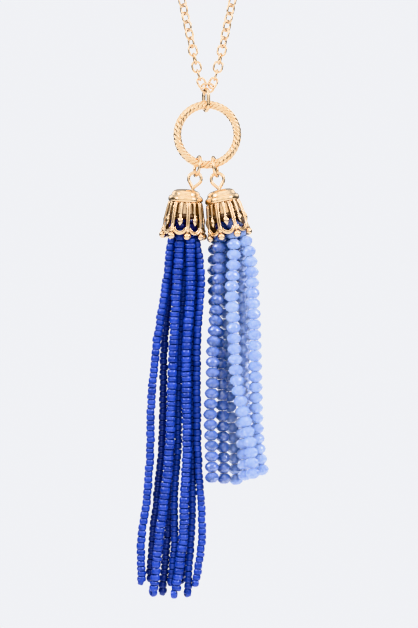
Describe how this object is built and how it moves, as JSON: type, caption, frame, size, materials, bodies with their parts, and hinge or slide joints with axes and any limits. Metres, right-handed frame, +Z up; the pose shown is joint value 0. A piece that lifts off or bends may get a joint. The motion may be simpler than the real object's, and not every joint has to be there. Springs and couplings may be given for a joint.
{
  "type": "tassel necklace",
  "caption": "Long cable-chain necklace with a bail, a twisted ring and two hanging bell caps, one with strands of seed beads and one with strands of cut rondelles.",
  "frame": {"origin": "middle of the clasp at the nape of the neck, where the closed necklace is held up", "axes": "+Z up, the necklace's front faces -Y, +X to the viewer's right"},
  "size_m": [0.1288, 0.119, 0.4875],
  "materials": {
    "gold": "polished pale gold plating",
    "cobalt_glass": "opaque glossy glass",
    "periwinkle_glass": "milky cut glass",
    "thread": "fine beading thread"
  },
  "bodies": {
    "chain": {"chain_front": "gold", "chain_back": "gold", "clasp": "gold", "bail": "gold"},
    "pendant": {"twisted_ring": "gold"},
    "tassel_left": {"jump_ring_left": "gold", "eye_left": "gold", "cap_left": "gold", "inner_cup_left": "gold", "seed_tassel": "cobalt_glass"},
    "tassel_right": {"jump_ring_right": "gold", "eye_right": "gold", "cap_right": "gold", "inner_cup_right": "gold", "rondelle_threads": "thread", "rondelles_1": "periwinkle_glass", "rondelles_2": "periwinkle_glass", "rondelles_3": "periwinkle_glass", "rondelles_4": "periwinkle_glass", "rondelles_5": "periwinkle_glass", "rondelles_6": "periwinkle_glass", "rondelles_7": "periwinkle_glass"}
  },
  "joints": [
    {"name": "pendant_swing", "type": "hinge", "parent": "chain", "child": "pendant", "pos_m": [0, -0.111, -0.34768], "axis": [1, 0, 0], "range_deg": [-60, 60]},
    {"name": "tassel_left_swing", "type": "hinge", "parent": "pendant", "child": "tassel_left", "pos_m": [-0.00258, -0.111, -0.36391], "axis": [1, 0, 0], "range_deg": [-60, 60]},
    {"name": "tassel_right_swing", "type": "hinge", "parent": "pendant", "child": "tassel_right", "pos_m": [0.002, -0.111, -0.36408], "axis": [1, 0, 0], "range_deg": [-60, 60]}
  ]
}
